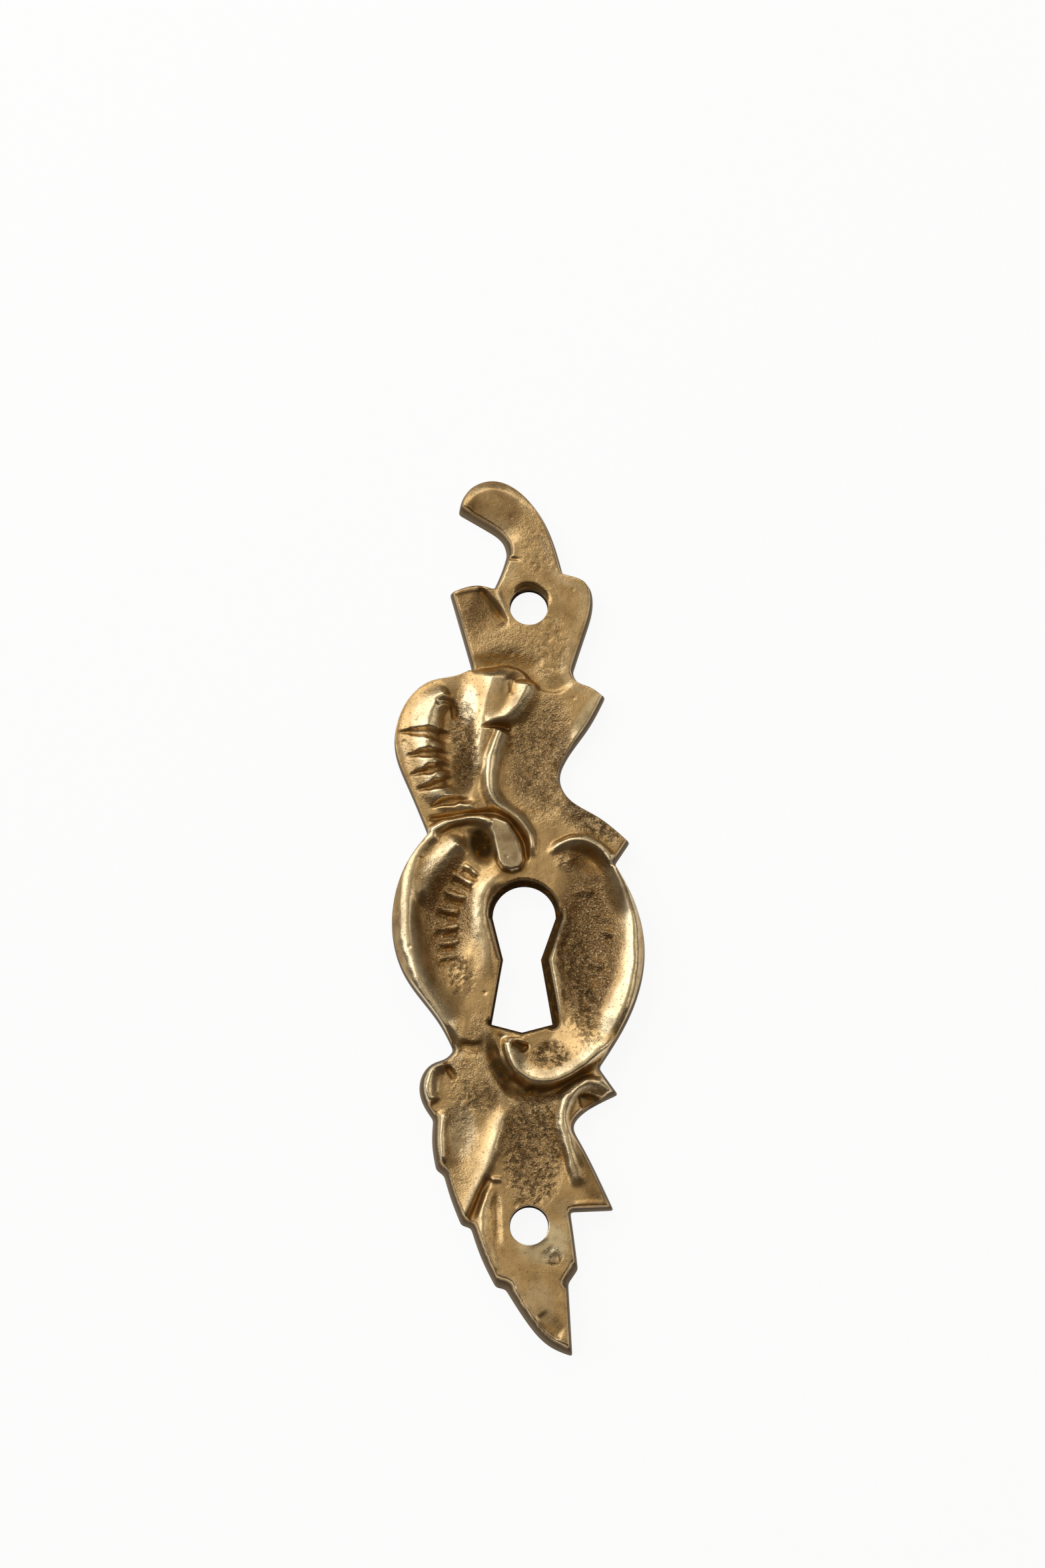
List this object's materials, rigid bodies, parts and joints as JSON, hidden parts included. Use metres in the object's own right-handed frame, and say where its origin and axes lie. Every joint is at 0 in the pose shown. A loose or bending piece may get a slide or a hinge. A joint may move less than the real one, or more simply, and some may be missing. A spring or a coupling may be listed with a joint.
{
  "type": "keyhole escutcheon",
  "caption": "Rococo cast-brass keyhole escutcheon with an asymmetric scroll-and-leaf outline, a carved front, a flat back, a flared keyhole and screw holes, for a drawer or cabinet lock.",
  "frame": {"origin": "on the axis of the keyhole's round part, at the flat back face", "axes": "+Z out of the carved front, +Y up the plate towards the hook, +X to the right seen from the front"},
  "size_m": [0.0288, 0.1007, 0.0042],
  "materials": {
    "aged_brass": "sand-cast brass with brown patina in the recesses, burnished on the ridges and flat lands"
  },
  "bodies": {
    "root": {"escutcheon_plate": "aged_brass"}
  },
  "joints": []
}
